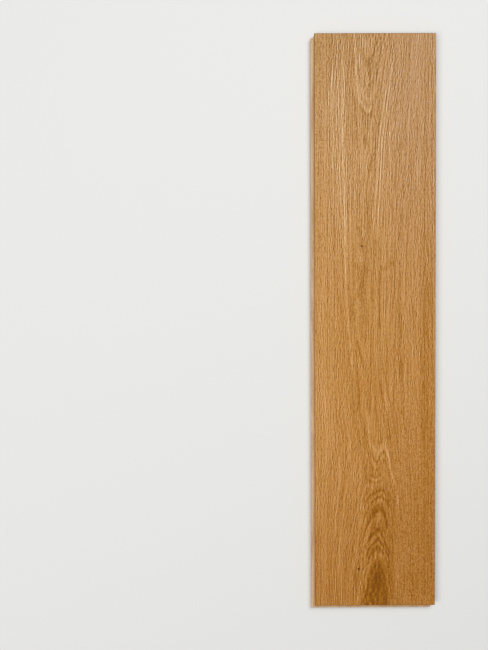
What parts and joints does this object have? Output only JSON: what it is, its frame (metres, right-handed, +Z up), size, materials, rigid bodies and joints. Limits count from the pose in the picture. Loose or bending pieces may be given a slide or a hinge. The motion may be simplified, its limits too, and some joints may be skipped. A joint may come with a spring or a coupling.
{
  "type": "engineered wood flooring plank",
  "caption": "Flat tongue-and-groove floor plank: an oak wear layer with a fine face bevel, glued on a cross-laid plywood core.",
  "frame": {"origin": "on the underside, below the middle of the oak face", "axes": "+Z up out of the oak face, +Y along the grain; the tongues point to -X and -Y, the grooves open to +X and +Y"},
  "size_m": [0.1955, 0.9055, 0.015],
  "materials": {
    "oak_face": "satin",
    "ply_along": "matte",
    "ply_across": "matte"
  },
  "bodies": {
    "root": {"oak_wear_layer": "oak_face", "core_ply_1": "ply_along", "core_ply_2": "ply_across", "core_ply_3": "ply_along", "core_ply_4": "ply_across", "core_ply_5": "ply_along", "core_ply_6": "ply_across", "core_ply_7": "ply_along", "core_ply_8": "ply_across", "core_ply_9": "ply_along"}
  },
  "joints": []
}
